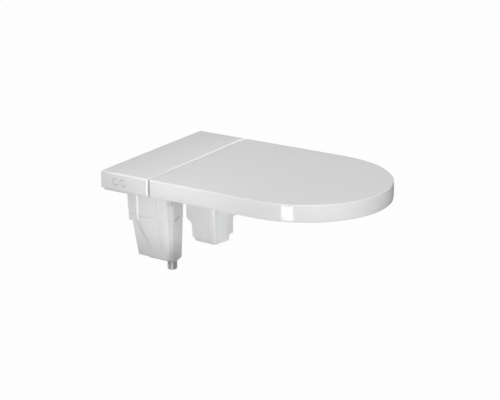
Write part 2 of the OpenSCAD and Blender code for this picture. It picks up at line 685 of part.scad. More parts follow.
// ---- Lid ----
module lid_shell() color("white") difference() {
  translate([0, 0, skirt_z]) linear_extrude(top_z - skirt_z) polygon(d_outline(half_w, lid_rear, nose_len));
  linear_extrude(lid_in_z)
    polygon(d_outline(half_w - lid_wall, lid_rear - lid_wall, nose_len - lid_wall));
  // The rear lip ends above the hinge and is left out where the hinge stands
  box([-half_w + lid_wall, lid_rear - lid_wall - 1, 0], [half_w - lid_wall, lid_rear + 1, 20]);
  both_sides() box([94, lid_rear - lid_wall - 1, 19], [167, lid_rear + 1, lid_in_z]);
  // Cut corners that let the side skirts swing past the rim
  both_sides() translate([half_w - 6, lid_rear, skirt_z]) rotate([45, 0, 0])
    cube([20, 4.4, 4.4], center = true);
  both_sides() for (p = lid_screw_at) z_rod(screw_r, lid_in_z - 1, 40.8, p.x, p.y);
}
module lid_hinge_brackets() color("lightgray") both_sides() difference() {
  union() {
    box([lid_ear_x[0], -76, 36.3], [178, -50, lid_in_z]);
    x_rod(7.3, lid_ear_x[0], lid_ear_x[1], -hinge_y, hinge_z);
    box([lid_ear_x[0], -hinge_y - 7.3, hinge_z], [lid_ear_x[1], -hinge_y + 7.3, 36.5]);
  }
  x_rod(pin_r + pin_play, lid_ear_x[0] - 1, lid_ear_x[1] + 1, -hinge_y, hinge_z);
  for (p = lid_screw_at) z_rod(screw_r, 30, 40, p.x, p.y);
}
module lid_bumpers() color("gray") both_sides() for (p = lid_bumper_at)
  z_rod(8, seat_top_z + 0.3, lid_in_z, p.x, p.y);
module lid_hinge_screws() color("silver") both_sides() for (p = lid_screw_at) {
  z_rod(head_r, 34.7, 36.3, p.x, p.y);
  z_rod(screw_r, 36.3 - eps, 40.6, p.x, p.y);
}

rear_cover();
base_plate();
mounting_bracket();
fixing_bolts();
expansion_dowels();
rim_pads();
hinge_block_left();
hinge_block_right();
hinge_pin_left();
hinge_pin_right();
seat_damper();
lid_damper();
water_leg_upper();
water_leg_lower();
electric_leg_upper();
electric_leg_lower();
leg_screws();
cover_screws();
hinge_block_screws();
water_inlet_connector();
inlet_strainer();
inlet_valve();
solenoid_coil();
flow_meter();
water_heater();
cold_water_hose();
warm_water_hose();
water_pump();
pump_hose();
selector_valve();
nozzle_guide();
wand_motor();
control_board();
power_board();
transformer();
mains_gland();
dryer_fan_housing();
dryer_motor();
dryer_duct();
dryer_heater();
button_board();
wash_button();
stop_button();
dryer_fan_wheel();
dryer_flap();
wand_outer_tube();
wand_rack();
wand_inner_tube();
nozzle_head();
nozzle_shield();
drive_pinion();
seat_top_shell();
seat_bottom_shell();
seat_heater();
seat_bumpers();
seat_screws();
lid_shell();
lid_hinge_brackets();
lid_bumpers();
lid_hinge_screws();
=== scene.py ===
import json
import math
import bpy
import bmesh
import numpy as np
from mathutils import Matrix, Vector


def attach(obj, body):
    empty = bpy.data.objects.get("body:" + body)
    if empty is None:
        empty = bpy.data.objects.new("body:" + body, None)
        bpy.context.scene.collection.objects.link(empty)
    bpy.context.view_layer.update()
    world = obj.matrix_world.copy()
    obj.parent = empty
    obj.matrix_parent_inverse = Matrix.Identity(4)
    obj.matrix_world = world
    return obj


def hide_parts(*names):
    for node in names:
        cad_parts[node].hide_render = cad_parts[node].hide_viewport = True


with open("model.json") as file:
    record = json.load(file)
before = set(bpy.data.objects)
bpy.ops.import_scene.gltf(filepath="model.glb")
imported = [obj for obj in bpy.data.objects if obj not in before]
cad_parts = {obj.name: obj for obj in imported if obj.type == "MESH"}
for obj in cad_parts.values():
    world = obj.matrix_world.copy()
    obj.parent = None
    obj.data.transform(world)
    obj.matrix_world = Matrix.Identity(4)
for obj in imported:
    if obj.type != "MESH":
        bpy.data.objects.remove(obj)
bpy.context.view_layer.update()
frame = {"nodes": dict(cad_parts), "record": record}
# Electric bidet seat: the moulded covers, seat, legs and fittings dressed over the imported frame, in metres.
mm = 0.001

# Camera, first
cameraSet = {"azimuth": -57.3138, "elevation": 17.8814, "distance": 3.5691,
             "target": (-0.077343, -0.219433, 0.0), "lens": 124.18}


# Puts an object at a distance from the point it faces. Azimuth 0 looks along +Y.
def aim(obj, azimuth, elevation, distance, point):
    a, e = math.radians(azimuth), math.radians(elevation)
    back = Vector((math.sin(a) * math.cos(e), -math.cos(a) * math.cos(e), math.sin(e)))
    obj.location = Vector(point) + back * distance
    obj.rotation_mode = "QUATERNION"
    obj.rotation_quaternion = (-back).to_track_quat("-Z", "Y")
    bpy.context.collection.objects.link(obj)


def makeCamera(s):
    data = bpy.data.cameras.new("camera")
    data.lens, data.sensor_width = s["lens"], 36
    data.clip_start, data.clip_end = 0.05, 60
    cam = bpy.data.objects.new("camera", data)
    aim(cam, s["azimuth"], s["elevation"], s["distance"], s["target"])
    bpy.context.scene.camera = cam


makeCamera(cameraSet)
print("camera placed")

# Studio
studioSet = {
    "floorZ": -0.62, "floorSize": 1.6, "paper": 0.985, "floorLight": 0.125,
    "sky": {"left": 0.49, "right": 0.15, "back": 0.33, "front": 0.58},
    # lamps that no glossy surface mirrors
    "unmirrored": ("beamSide", "beamTop", "rimSide", "rimFront", "lowFront", "farFill"),
    # name: azimuth, elevation, distance, width, height, watts, the point it faces, spread in degrees
    "boxes": {
        "overhead": (-60, 80, 1.6, 1.6, 1.6, 17.2, (0, -0.2, 0), 180),
        "beamSide": (-80, 8, 1.1, 0.1, 0.1, 0.062, (-0.17, -0.08, 0.04), 26),
        "beamTop": (-80, 45, 1.1, 0.1, 0.1, 0.012, (-0.16, -0.06, 0.04), 26),
        "beamFar": (-50, -5, 1.3, 0.12, 0.12, 0.072, (0.11, -0.02, -0.1), 17),
        "edgeSide": (-149, 53, 1.3, 0.5, 0.3, 0.4, (-0.1865, -0.05, 0.04), 180),
        "edgeFront": (70, 29, 1.3, 0.6, 0.34, 1.8, (0, -0.04, 0.04), 180),
        "backLow": (-178, -16, 1.5, 1.2, 0.5, 8, (-0.15, -0.02, -0.07), 180),
        "lowFront": (-24, -14, 1.1, 0.8, 0.35, 0.85, (0, -0.1, -0.08), 180),
        "rimSide": (-62, -9, 0.45, 0.25, 0.1, 0.35, (-0.12, -0.45, 0.03), 180),
        "rimFront": (-22, -9, 0.45, 0.4, 0.1, 0.2, (-0.02, -0.49, 0.03), 180),
        "farFill": (118, -9, 1.5, 0.9, 0.3, 3.5, (0.1, -0.15, -0.05), 180),
        "strip": (-79.4, -18, 1.15, 0.29, 0.35, 2.25, (-0.17, -0.37, 0.02), 180),
    },
}


# Colour that the lens sees on one side, and what lights the object on the other.
def cameraMix(nodes, links, seen, lit):
    path = nodes.new("ShaderNodeLightPath")
    mix = nodes.new("ShaderNodeMixShader")
    links.new(path.outputs["Is Camera Ray"], mix.inputs[0])
    links.new(lit, mix.inputs[1])
    links.new(seen, mix.inputs[2])
    return mix.outputs[0]


# Lit sky: lobes that grow with the cosine to the left, right, back and front.
def skyLight(nodes, links, s):
    coord, parts = nodes.new("ShaderNodeTexCoord"), nodes.new("ShaderNodeSeparateXYZ")
    links.new(coord.outputs["Generated"], parts.inputs[0])
    total = None
    for name, axis, sign in (("left", 0, -1), ("right", 0, 1), ("back", 1, 1), ("front", 1, -1)):
        lobe, grow, add = (nodes.new("ShaderNodeMath") for _ in range(3))
        lobe.operation, grow.operation, add.operation = "MULTIPLY", "MAXIMUM", "MULTIPLY_ADD"
        lobe.inputs[1].default_value, grow.inputs[1].default_value = sign, 0
        add.inputs[1].default_value, add.inputs[2].default_value = s["sky"][name], 0
        links.new(parts.outputs[axis], lobe.inputs[0])
        links.new(lobe.outputs[0], grow.inputs[0])
        links.new(grow.outputs[0], add.inputs[0])
        if total:
            links.new(total, add.inputs[2])
        total = add.outputs[0]
    return total


# World: white paper to the lens, the lit sky to everything else.
def makeWorld(s):
    world = bpy.data.worlds.new("studio")
    bpy.context.scene.world = world
    world.use_nodes = True
    nodes, links = world.node_tree.nodes, world.node_tree.links
    nodes.clear()
    out = nodes.new("ShaderNodeOutputWorld")
    white, soft = nodes.new("ShaderNodeBackground"), nodes.new("ShaderNodeBackground")
    white.inputs[0].default_value = (1, 1, 1, 1)
    white.inputs[1].default_value = s["paper"]
    soft.inputs[0].default_value = (1, 1, 1, 1)
    links.new(skyLight(nodes, links, s), soft.inputs[1])
    links.new(cameraMix(nodes, links, white.outputs[0], soft.outputs[0]), out.inputs[0])


# Sheet below the part: white paper to the lens, a faint glow to everything else.
def makeFloor(s):
    h, z = s["floorSize"], s["floorZ"]
    floorMesh = bpy.data.meshes.new("floor")
    floorMesh.from_pydata([(-h, -h, z), (h, -h, z), (h, h, z), (-h, h, z)], [], [(0, 1, 2, 3)])
    floor = bpy.data.objects.new("floor", floorMesh)
    bpy.context.collection.objects.link(floor)
    paper = bpy.data.materials.new("studioPaper")
    paper.use_nodes = True
    nodes, links = paper.node_tree.nodes, paper.node_tree.links
    nodes.clear()
    out = nodes.new("ShaderNodeOutputMaterial")
    glow, dull = nodes.new("ShaderNodeEmission"), nodes.new("ShaderNodeEmission")
    glow.inputs[1].default_value = s["paper"]
    dull.inputs[1].default_value = s["floorLight"]
    links.new(cameraMix(nodes, links, glow.outputs[0], dull.outputs[0]), out.inputs[0])
    floorMesh.materials.append(paper)


# Rectangular lamps, each facing its point and hidden from the lens.
def makeLamps(s):
    for name, (azimuth, elevation, distance, width, height, watts, point, spreadAngle) in s["boxes"].items():
        lamp = bpy.data.lights.new(name, "AREA")
        lamp.shape, lamp.size, lamp.size_y, lamp.energy = "RECTANGLE", width, height, watts
        lamp.spread = math.radians(spreadAngle)
        obj = bpy.data.objects.new(name, lamp)
        aim(obj, azimuth, elevation, distance, point)
        obj.visible_camera, obj.visible_glossy = False, name not in s["unmirrored"]


makeWorld(studioSet)
makeFloor(studioSet)
makeLamps(studioSet)
bpy.context.scene.view_settings.view_transform = "Standard"
print("studio ready")


# Materials
# Principled material of one colour and roughness.
def newMaterial(name, color, rough, metal=0.0):
    mat = bpy.data.materials.new(name)
    mat.use_nodes = True
    bsdf = mat.node_tree.nodes["Principled BSDF"]
    bsdf.inputs["Base Color"].default_value = (*color, 1)
    bsdf.inputs["Roughness"].default_value = rough
    bsdf.inputs["Metallic"].default_value = metal
    bsdf.inputs["IOR"].default_value = 1.5
    mat.diffuse_color = (*color, 1)
    return mat, mat.node_tree.nodes, mat.node_tree.links, bsdf


# Noise on the object's own coordinates, which may be stretched.
def objectNoise(nodes, links, scale, detail=3.0, stretch=(1, 1, 1)):
    coord = nodes.new("ShaderNodeTexCoord")
    place = nodes.new("ShaderNodeMapping")
    place.inputs["Scale"].default_value = stretch
    noise = nodes.new("ShaderNodeTexNoise")
    noise.inputs["Scale"].default_value = scale
    noise.inputs["Detail"].default_value = detail
    links.new(coord.outputs["Object"], place.inputs["Vector"])
    links.new(place.outputs[0], noise.inputs["Vector"])
    return noise.outputs[0]


# Draws the part of a value from start to end out to the range from low to high.
def spread(nodes, links, value, low, high, start=0.35, end=0.65):
    ramp = nodes.new("ShaderNodeMapRange")
    for k, v in ((1, start), (2, end), (3, low), (4, high)):
        ramp.inputs[k].default_value = v
    links.new(value, ramp.inputs[0])
    return ramp.outputs[0]


# Blends colour a into b as a value goes from 0 to 1.
def tint(nodes, links, value, a, b, target):
    mix = nodes.new("ShaderNodeMix")
    mix.data_type = "RGBA"
    mix.inputs[6].default_value, mix.inputs[7].default_value = (*a, 1), (*b, 1)
    links.new(value, mix.inputs[0])
    links.new(mix.outputs[2], target)


# Bumps the surface by a value, to a depth in metres.
def relief(nodes, links, value, strength, depth, target):
    bump = nodes.new("ShaderNodeBump")
    bump.inputs["Strength"].default_value = strength
    bump.inputs["Distance"].default_value = depth
    links.new(value, bump.inputs["Height"])
    links.new(bump.outputs[0], target)


# Moulded plastic: slow tone clouds, a wandering gloss and a fine skin.
def moulded(name, a, b, rough, swing, grain, depth, cloudScale=9.0, skinStrength=0.25):
    mat, nodes, links, bsdf = newMaterial(name, a, rough)
    cloud = objectNoise(nodes, links, cloudScale)
    tint(nodes, links, spread(nodes, links, cloud, 0, 1), a, b, bsdf.inputs["Base Color"])
    wipe = objectNoise(nodes, links, 55)
    links.new(spread(nodes, links, wipe, rough - swing, rough + swing), bsdf.inputs["Roughness"])
    skin = objectNoise(nodes, links, grain, 2.0)
    relief(nodes, links, skin, skinStrength, depth, bsdf.inputs["Normal"])
    return mat


# Painted shade: a tone that deepens smoothly from one level of (x, y, z)·slope to another, down to a share of
# the colour.
def paintShade(mat, slope, high, low, share):
    nodes, links = mat.node_tree.nodes, mat.node_tree.links
    target = nodes["Principled BSDF"].inputs["Base Color"]
    coord, level = nodes.new("ShaderNodeTexCoord"), nodes.new("ShaderNodeVectorMath")
    ramp, scale = nodes.new("ShaderNodeMapRange"), nodes.new("ShaderNodeVectorMath")
    ramp.interpolation_type, scale.operation, level.operation = "SMOOTHSTEP", "SCALE", "DOT_PRODUCT"
    level.inputs[1].default_value = slope
    for k, v in enumerate((low, high, share, 1.0), 1):
        ramp.inputs[k].default_value = v
    links.new(coord.outputs["Object"], level.inputs[0])
    links.new(level.outputs["Value"], ramp.inputs[0])
    links.new(target.links[0].from_socket, scale.inputs[0])
    links.new(ramp.outputs[0], scale.inputs["Scale"])
    links.new(scale.outputs[0], target)


# Metal with fine drawn streaks.
def metal(name, a, b, rough, swing, stretch):
    mat, nodes, links, bsdf = newMaterial(name, a, rough, 1.0)
    streak = objectNoise(nodes, links, 260, 4.0, stretch)
    tint(nodes, links, spread(nodes, links, streak, 0, 1), a, b, bsdf.inputs["Base Color"])
    links.new(spread(nodes, links, streak, rough - swing, rough + swing), bsdf.inputs["Roughness"])
    relief(nodes, links, streak, 0.3, 0.00002, bsdf.inputs["Normal"])
    return mat


# Circuit board: the joints of a fine brick pattern are the tracks.
def circuitBoard(name):
    mat, nodes, links, bsdf = newMaterial(name, (0.02, 0.16, 0.07), 0.3)
    coord = nodes.new("ShaderNodeTexCoord")
    tracks = nodes.new("ShaderNodeTexBrick")
    tracks.inputs["Scale"].default_value = 90
    tracks.inputs["Mortar Size"].default_value = 0.03
    tracks.inputs["Color1"].default_value = (0.02, 0.16, 0.07, 1)
    tracks.inputs["Color2"].default_value = (0.02, 0.13, 0.06, 1)
    tracks.inputs["Mortar"].default_value = (0.05, 0.30, 0.12, 1)
    links.new(coord.outputs["Object"], tracks.inputs["Vector"])
    links.new(tracks.outputs[0], bsdf.inputs["Base Color"])
    skin = objectNoise(nodes, links, 600)
    links.new(spread(nodes, links, skin, 0.24, 0.40), bsdf.inputs["Roughness"])
    return mat


# Heater foil: rings of copper track on a silvery film.
def filmHeater(name):
    mat, nodes, links, bsdf = newMaterial(name, (0.62, 0.60, 0.56), 0.35, 0.8)
    coord = nodes.new("ShaderNodeTexCoord")
    wave = nodes.new("ShaderNodeTexWave")
    wave.wave_type, wave.rings_direction = "RINGS", "Z"
    wave.inputs["Scale"].default_value = 42
    links.new(coord.outputs["Object"], wave.inputs["Vector"])
    tint(nodes, links, spread(nodes, links, wave.outputs[1], 0, 1, 0.6, 0.7), (0.66, 0.64, 0.60),
         (0.60, 0.28, 0.14), bsdf.inputs["Base Color"])
    relief(nodes, links, wave.outputs[1], 0.2, 0.00005, bsdf.inputs["Normal"])
    return mat


# moulded: two tones, roughness and its swing, grain, skin depth in metres, cloud scale, skin strength
# metal: two tones, roughness and its swing, stretch of the streaks along X, Y and Z
materials = {
    "white_gloss": moulded("whiteGloss", (0.80, 0.80, 0.80), (0.795, 0.795, 0.795), 0.08, 0.015, 70, 0.00002,
                           4.0, 0.1),
    "white_satin": moulded("whiteSatin", (0.83, 0.83, 0.83), (0.825, 0.825, 0.826), 0.25, 0.02, 90, 0.00002,
                           5.0, 0.1),
    "hinge_grey": moulded("hingeGrey", (0.50, 0.51, 0.53), (0.44, 0.45, 0.47), 0.42, 0.06, 1500, 0.00008, 60),
    "steel": metal("steel", (0.62, 0.62, 0.63), (0.50, 0.50, 0.51), 0.28, 0.08, (1, 1, 6)),
    "plated_inlet": metal("platedInlet", (0.80, 0.80, 0.79), (0.68, 0.68, 0.67), 0.34, 0.08, (1, 1, 0.15)),
    "rubber_grey": moulded("rubberGrey", (0.42, 0.42, 0.43), (0.36, 0.36, 0.37),
                           0.62, 0.08, 2200, 0.0001, 40),
    "dowel_grey": moulded("dowelGrey", (0.34, 0.35, 0.38), (0.29, 0.30, 0.32),
                          0.48, 0.06, 1300, 0.00008, 50),
    "works_white": moulded("worksWhite", (0.74, 0.74, 0.71), (0.68, 0.68, 0.65),
                           0.36, 0.06, 1200, 0.00006, 30),
    "works_dark": moulded("worksDark", (0.030, 0.030, 0.033), (0.05, 0.05, 0.053),
                          0.46, 0.08, 1600, 0.0001, 40),
    "circuit_green": circuitBoard("circuitGreen"),
    "hose_blue": moulded("hoseBlue", (0.34, 0.47, 0.62), (0.29, 0.41, 0.56), 0.4, 0.06, 900, 0.00006, 40),
    "heater_steel": metal("heaterSteel", (0.58, 0.58, 0.59), (0.46, 0.46, 0.47), 0.32, 0.08, (6, 6, 1)),
    "heater_foil": filmHeater("heaterFoil"),
}
# Painted shade in the white satin on the near leg: darker towards its foot and lower front, and on its cut
# corner. Columns: slope, where each starts and ends, the share that is left.
# The seat's lower shell lies past the last two slopes for the most part, so the painted shade darkens it as
# well.
legPaintedShade = {
    "foot": ((0.5, 0, 1), -0.158, -0.222, 0.80),
    "footFront": ((0, 2.5, 1), -0.272, -0.340, 0.68),
    "cutCorner": ((0.735, 0.678, -0.015), -0.1672, -0.1677, 0.83),
}
for slope, high, low, share in legPaintedShade.values():
    paintShade(materials["white_satin"], slope, high, low, share)
slotOf = {p["node"]: p["material_slot"] for p in frame["record"]["subparts"]}
bodyOf = {n: b for b, names in frame["record"]["behaviour"]["bodies"].items() for n in names}
for node, obj in frame["nodes"].items():
    obj.data.materials.clear()
    obj.data.materials.append(materials[slotOf[node]])
print("materials set on", len(frame["nodes"]), "nodes")


# Mesh helpers
# Eases from 0 at a to 1 at b: three squares less two cubes of the share of the way.
def smoothStep(x, a, b):
    t = np.clip((np.asarray(x, float) - a) / (b - a), 0, 1)
    return t * t * (3 - 2 * t)


# Surface through points[row, column]: neighbours in both directions make the faces.
def gridMesh(name, points, wrapRows=False, wrapCols=True, capTop=False, capBottom=False):
    rows, cols, _ = points.shape
    r = np.arange(rows if wrapRows else rows - 1)
    c = np.arange(cols if wrapCols else cols - 1)
    rr, cc = np.meshgrid(r, c, indexing="ij")
    r2, c2 = (rr + 1) % rows, (cc + 1) % cols
    quads = np.stack([rr * cols + cc, rr * cols + c2, r2 * cols + c2, r2 * cols + cc], -1).reshape(-1, 4)
    faces = quads.tolist()
    if capTop:
        faces.append(list(range(cols))[::-1])
    if capBottom:
        faces.append([(rows - 1) * cols + k for k in range(cols)])
    mesh = bpy.data.meshes.new(name)
    mesh.from_pydata((points.reshape(-1, 3) * mm).tolist(), [], faces)
    return cleanMesh(mesh)


# Merges doubles, drops faces with no area and turns the faces outwards.
def cleanMesh(mesh):
    bm = bmesh.new()
    bm.from_mesh(mesh)
    bmesh.ops.remove_doubles(bm, verts=bm.verts, dist=2e-6)
    bmesh.ops.dissolve_degenerate(bm, edges=bm.edges, dist=1e-6)
    bmesh.ops.recalc_face_normals(bm, faces=bm.faces)
    if bm.calc_volume(signed=True) < 0:
        bmesh.ops.reverse_faces(bm, faces=bm.faces)
    bm.to_mesh(mesh)
    bm.free()
    return mesh


# Scales a mesh's points about the origin, then moves them by a number of millimetres.
def movePoints(mesh, at, scale=(1, 1, 1)):
    v = np.empty(len(mesh.vertices) * 3)
    mesh.vertices.foreach_get("co", v)
    v = v.reshape(-1, 3) * scale + np.array(at) * mm
    mesh.vertices.foreach_set("co", v.ravel())
    return mesh


# Links a finished mesh, rides it on its body and lets it stand for the named nodes.
def addPiece(mesh, body, slot, nodes, creaseAngle=32, bevel=0.0):
    obj = bpy.data.objects.new(mesh.name, mesh)
    bpy.context.collection.objects.link(obj)
    if not mesh.materials:
        mesh.materials.append(materials[slot])
    mesh.polygons.foreach_set("use_smooth", np.ones(len(mesh.polygons), bool))
    mesh.set_sharp_from_angle(angle=math.radians(creaseAngle))
    if bevel:
        soften = obj.modifiers.new("soften", "BEVEL")
        soften.width, soften.segments, soften.limit_method = bevel * mm, 2, "ANGLE"
        soften.angle_limit, soften.harden_normals = math.radians(35), True
    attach(obj, body)
    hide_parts(*nodes)


# A rounded copy of a node: its triangles are merged, flat ones joined, and the edges bevelled.
def softened(node, width):
    mesh = frame["nodes"][node].data.copy()
    mesh.name = node + "Soft"
    bm = bmesh.new()
    bm.from_mesh(mesh)
    bmesh.ops.remove_doubles(bm, verts=bm.verts, dist=1e-6)
    bmesh.ops.dissolve_limit(bm, angle_limit=math.radians(0.5), verts=bm.verts, edges=bm.edges)
    bm.to_mesh(mesh)
    bm.free()
    addPiece(mesh, bodyOf[node], slotOf[node], [node], 30, width)


# Takes the cutters' shapes out of a closed mesh.
def cutOut(mesh, cutters):
    obj = bpy.data.objects.new("work", mesh)
    bpy.context.collection.objects.link(obj)
    tools = []
    for cutter in cutters:
        tool = bpy.data.objects.new("cutter", cutter)
        bpy.context.collection.objects.link(tool)
        tools.append(tool)
        cut = obj.modifiers.new("cut", "BOOLEAN")
        cut.operation, cut.solver, cut.object = "DIFFERENCE", "EXACT", tool
    graph = bpy.context.evaluated_depsgraph_get()
    made = bpy.data.meshes.new_from_object(obj.evaluated_get(graph))
    made.name = mesh.name + "Cut"
    for tool in tools + [obj]:
        bpy.data.objects.remove(tool)
    return made


# A profile of (radius, height) pairs turned about an axis through a point.
def turned(name, profile, axis, at, steps=48):
    prof = np.array(profile, float)
    a = np.linspace(0, 2 * np.pi, steps, endpoint=False)
    ring = np.stack([np.cos(a), np.sin(a)], -1)
    flat = prof[:, None, 0, None] * ring[None]
    tall = np.repeat(prof[:, 1, None, None], steps, 1)
    order = {"z": (0, 1, 2), "x": (2, 0, 1), "y": (1, 2, 0)}[axis]
    pts = np.concatenate([flat, tall], -1)[..., list(order)]
    return gridMesh(name, pts + np.array(at), capTop=prof[0, 0] > 0.01, capBottom=prof[-1, 0] > 0.01)


# Points on a circle of radius r about the origin, between two angles in degrees.
def arc(r, start, end, steps):
    a = np.radians(np.linspace(start, end, steps))
    return np.stack([r * np.cos(a), r * np.sin(a)], -1)


# Edge that takes 1 off both faces, as (across, along) pairs: a 45 degree flat between two arcs of radius k.
def easedEdge(k, steps=4):
    a = np.radians(np.linspace(0, 45, steps))
    first = np.stack([1 - k * np.sin(a), k * (1 - np.cos(a))], -1)
    last = first[::-1, ::-1]
    u = np.array([[0.12], [0.5], [0.88]])
    return np.concatenate([first, first[-1] * (1 - u) + last[0] * u, last])


# Lid and rear cover: one profile carried round an outline
lidSet = {
    "half": 186.8, "rear": -41.6, "noseCentre": -295.0, "nose": 195.3, "cornerR": 2.0, "top": 42.0,
    "skirt": 5.3, "wall": 3.5, "inner": 38.5, "edgeR": 2.0, "rearR": 0.5, "flatness": 0.5,
    "crown": 2.4, "crownRun": 190, "bulge": 0.7, "chamfer": 3.1,
    # rear wall: its lower edge, the gap at each hinge, the outer end, and columns close to those jumps
    "lipZ": 20.0, "hingeGap": (93.7, 94.6, 166.7, 167.6), "lipEnd": 182.6,
    "marks": (-183, -167, -94, 94, 167, 183),
}
coverSet = {
    "half": 186.5, "rear": 84.5, "front": -36.8, "cornerR": 2.4, "frontCorner": (2.1, 3.6), "top": 42.0,
    "skirt": 5.3, "wall": 3.0, "inner": 38.5, "edgeR": 3.1, "rearR": 2.0, "flatness": 0.35,
    "crown": 2.0, "bulge": 0.4, "droop": 0.25, "notch": (-14.0, 66.5), "notchZ": 15.0, "marks": (),
}


# Even steps from low to high, with three close ones at each mark.
def markedSteps(low, high, marks, steps=40):
    close = [np.array([m - 0.6, m, m + 0.6]) for m in marks]
    return np.unique(np.concatenate([np.linspace(low, high, steps)] + close))


# Columns of an outline: base point, outward direction, and the diagonal along which a corner slides.
def columns(x, y, nx, ny):
    return np.stack(np.broadcast_arrays(x, y, nx, ny, 0.0, 0.0), -1)


# Closed outline in columns, from the rear over the right side and the front to the left side.
def shellOutline(s):
    h, r, rear = s["half"], s["cornerR"], s["rear"]

    def corner(sx, sy, y0):
        eased = 1 - easedEdge(s["flatness"])[1:-1]
        eased = eased if sx * sy > 0 else eased[:, ::-1]
        n = eased * np.array([sx, sy])
        size = np.array(s.get("frontCorner", (r, r)) if sy < 0 else (r, r))
        c = np.array([sx * (h - size[0]), y0 - sy * size[1]])
        return np.concatenate([c + size * n, n, np.tile([sx, sy], (len(n), 1))], -1)

    cols = [columns(markedSteps(-(h - r), h - r, s["marks"]), rear, 0.0, 1.0), corner(1, 1, rear)]
    if "nose" in s:
        centre, nose = s["noseCentre"], s["nose"]
        ys = np.linspace(rear - r, centre, 26)[:-1]
        ys = np.unique(np.concatenate([ys, rear - np.array([2.2, 3.1, 3.6, 4.2])]))[::-1]
        ys = ys[ys > centre]
        a = np.radians(np.linspace(0, 180, 145))
        nx, ny = np.cos(a) / h, -np.sin(a) / nose
        k = np.hypot(nx, ny)
        cols.append(columns(h, ys, 1.0, 0.0))
        cols.append(columns(h * np.cos(a), centre - nose * np.sin(a), nx / k, ny / k))
    else:
        front = s["front"]
        bx, by = s["frontCorner"]
        ys = np.linspace(rear - r, front + by, 26)
        cols.append(columns(h, ys, 1.0, 0.0))
        cols.append(corner(1, -1, front))
        cols.append(columns(markedSteps(bx - h, h - bx, s["notch"]), front, 0.0, -1.0)[::-1])
        cols.append(corner(-1, -1, front))
    cols += [columns(-h, ys, -1.0, 0.0)[::-1], corner(-1, 1, rear)]
    return np.concatenate(cols)


# The outline moved inwards by o: corners shrink to a point, then slide along their diagonal.
def insetRing(s, base, o):
    o = (o + np.zeros(len(base)))[:, None]
    turn = np.abs(base[:, 4:5]) > 0
    r = np.where(base[:, 5:6] < 0, s.get("frontCorner", s["cornerR"]), s["cornerR"])
    p = base[:, :2] - np.where(turn, np.minimum(o, r), o) * base[:, 2:4] - np.maximum(o - r, 0) * base[:, 4:6]
    o = o[:, 0]
    p[:, 0] = np.clip(p[:, 0], -(s["half"] - o), s["half"] - o)
    low = s["front"] + o if "front" in s else -1e4
    p[:, 1] = np.clip(p[:, 1], low, s["rear"] - o)
    return p


# Crown above the top at points p. The lid's falls off to its outline, the cover's to all four sides,
# and the cover's rear also droops.
def crownAt(s, p):
    rear = s["rear"]
    if "nose" in s:
        q = (p[:, 0] / s["half"]) ** 2 + (np.maximum(s["noseCentre"] - p[:, 1], 0) / s["nose"]) ** 2
        run = np.clip(1 - np.clip(1 - (rear - p[:, 1]) / s["crownRun"], 0, 1) ** 2, 0, 1)
        return s["crown"] * np.clip(1 - q ** 1.6, 0, 1) * run
    t = (2 * p[:, 1] - rear - s["front"]) / (rear - s["front"])
    level = s["crown"] * np.clip(1 - (p[:, 0] / s["half"]) ** 6, 0, 1) * np.clip(1 - t ** 2, 0, 1)
    return level - s["droop"] * np.clip(t, 0, 1) ** 2.5


# For each column, the point on the middle line towards which the top runs in.
def spinePoints(s, base):
    if "nose" in s:
        y = np.clip(base[:, 1], s["noseCentre"], s["rear"] - 60)
        return np.stack([0 * y, y], -1)
    reach = s["half"] - (s["rear"] - s["front"]) / 2
    return np.stack([np.clip(base[:, 0], -reach, reach), 0 * base[:, 0] + (s["rear"] + s["front"]) / 2], -1)


# Closed shell: crowned top, eased edge, skirt to lowEdge(x, y), rounded rim, inner wall, inner top.
def sweptShell(name, s, lowEdge):
    base = shellOutline(s)
    low = lowEdge(base[:, 0], base[:, 1])
    spine = spinePoints(s, base)
    top, inner, wall, bulge = s["top"], s["inner"], s["wall"], s["bulge"]
    outerRim, innerRim = 0.7, 0.5
    er = s["edgeR"] + (s["rearR"] - s["edgeR"]) * smoothStep(base[:, 3], 0.3, 0.95)
    rows = []
    start = insetRing(s, base, er + 1.2)
    edge = crownAt(s, start)
    for k in (1.0, 0.9, 0.78, 0.65, 0.52, 0.4, 0.28, 0.18, 0.1, 0.04, 0.0):
        p = start * (1 - k) + spine * k
        rows.append(np.c_[p, top + crownAt(s, p)])
    for across, down in easedEdge(s["flatness"]):
        rows.append(np.c_[insetRing(s, base, er * across + bulge), top - er * down + edge])
    tall = (top + edge - er - s["skirt"]) / 2
    for k in np.linspace(0.97, 0.05, 10):
        z = np.maximum(s["skirt"] + 2 * tall * k, low + outerRim + 0.05)
        rows.append(np.c_[insetRing(s, base, bulge * (2 * k - 1) ** 2), z])
    for x, z in arc(outerRim, 0, -90, 5):
        rows.append(np.c_[insetRing(s, base, bulge + outerRim - x), low + outerRim + z])
    for x, z in arc(innerRim, -90, 0, 4):
        rows.append(np.c_[insetRing(s, base, wall - innerRim + x), np.minimum(low + innerRim + z, inner)])
    for z in (12.0, 24.0, inner - 2.0):
        rows.append(np.c_[insetRing(s, base, wall), np.clip(z, low + innerRim, inner)])
    for o, z in ((0.6, inner - 0.6), (2.0, inner)):
        rows.append(np.c_[insetRing(s, base, wall + o), np.full(len(base), z)])
    start = insetRing(s, base, wall + 2.0)
    for k in (0.25, 0.6, 1.0):
        rows.append(np.c_[start * (1 - k) + spine * k, np.full(len(base), inner)])
    return gridMesh(name, np.array(rows))


# Lower edge of the lid: skirt level, cut corners at the rear, a lip behind and gaps at the hinges.
def lidLowEdge(x, y):
    s = lidSet
    ax = np.abs(x)
    a, b, c, d = s["hingeGap"]
    z = s["skirt"] + np.clip(y - (s["rear"] - s["chamfer"]), 0, s["chamfer"])
    lip = s["lipZ"] + (s["inner"] - s["lipZ"]) * smoothStep(ax, a, b) * (1 - smoothStep(ax, c, d))
    lip = np.where(ax > s["lipEnd"], s["skirt"] + s["chamfer"], lip)
    return np.where(y > s["rear"] - 0.01, lip, z)


